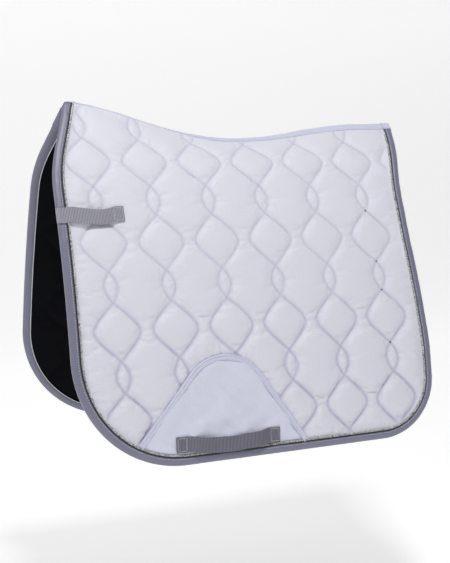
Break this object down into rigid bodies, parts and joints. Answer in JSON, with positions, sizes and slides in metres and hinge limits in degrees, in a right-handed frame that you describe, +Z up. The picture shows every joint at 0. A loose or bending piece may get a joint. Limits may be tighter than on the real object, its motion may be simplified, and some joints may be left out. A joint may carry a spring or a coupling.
{
  "type": "saddle pad",
  "caption": "Quilted saddle pad with a curved spine, hinged side flaps, bound edge, silver piping, a girth patch and webbing loops for the girth and its straps.",
  "frame": {"origin": "underside of the spine at its lowest dip, where the pad rests on the horse's back", "axes": "-X towards the withers (front), +X towards the tail, -Y the horse's near (left) side, +Z up"},
  "size_m": [0.6438, 0.3978, 0.5661],
  "materials": {
    "white_satin": "satin",
    "white_wadding": "matte",
    "navy_lining": "satin",
    "grey_binding": "satin",
    "charcoal_flange": "matte",
    "silver_piping": "gloss",
    "white_tape": "matte",
    "navy_tape": "matte",
    "white_patch_cloth": "satin",
    "grey_webbing": "matte",
    "light_thread": "matte",
    "dark_thread": "matte"
  },
  "bodies": {
    "spine": {"front_upper_binding": "grey_binding", "left_front_flange": "charcoal_flange", "left_front_upper_piping": "silver_piping", "left_rear_flange": "charcoal_flange", "left_rear_upper_piping": "silver_piping", "left_upper_lining": "navy_lining", "left_upper_shell": "white_satin", "left_upper_wadding": "white_wadding", "rear_upper_binding": "grey_binding", "right_front_flange": "charcoal_flange", "right_front_upper_piping": "silver_piping", "right_rear_flange": "charcoal_flange", "right_rear_upper_piping": "silver_piping", "right_upper_lining": "navy_lining", "right_upper_shell": "white_satin", "right_upper_wadding": "white_wadding", "spine_tape_end": "white_tape", "spine_tape_inner": "navy_tape", "spine_tape_outer": "white_tape", "withers_binding_overlap": "grey_binding"},
    "left_flap": {"left_flap_billet_loop": "grey_webbing", "left_flap_billet_stitching": "light_thread", "left_flap_binding": "grey_binding", "left_flap_flange": "charcoal_flange", "left_flap_girth_loop": "grey_webbing", "left_flap_girth_patch": "white_patch_cloth", "left_flap_girth_stitching": "light_thread", "left_flap_lining": "navy_lining", "left_flap_patch_tape": "white_tape", "left_flap_piping": "silver_piping", "left_flap_quilting_knots": "dark_thread", "left_flap_shell": "white_satin", "left_flap_wadding": "white_wadding"},
    "right_flap": {"right_flap_billet_loop": "grey_webbing", "right_flap_billet_stitching": "light_thread", "right_flap_binding": "grey_binding", "right_flap_flange": "charcoal_flange", "right_flap_girth_loop": "grey_webbing", "right_flap_girth_patch": "white_patch_cloth", "right_flap_girth_stitching": "light_thread", "right_flap_lining": "navy_lining", "right_flap_patch_tape": "white_tape", "right_flap_piping": "silver_piping", "right_flap_quilting_knots": "dark_thread", "right_flap_shell": "white_satin", "right_flap_wadding": "white_wadding"}
  },
  "joints": [
    {"name": "left_flap_fold", "type": "hinge", "parent": "spine", "child": "left_flap", "pos_m": [0, -0.06825, -0.05217], "axis": [-1, 0, 0], "range_deg": [-18, 60]},
    {"name": "right_flap_fold", "type": "hinge", "parent": "spine", "child": "right_flap", "pos_m": [0, 0.06825, -0.05217], "axis": [1, 0, 0], "range_deg": [-18, 60]}
  ]
}
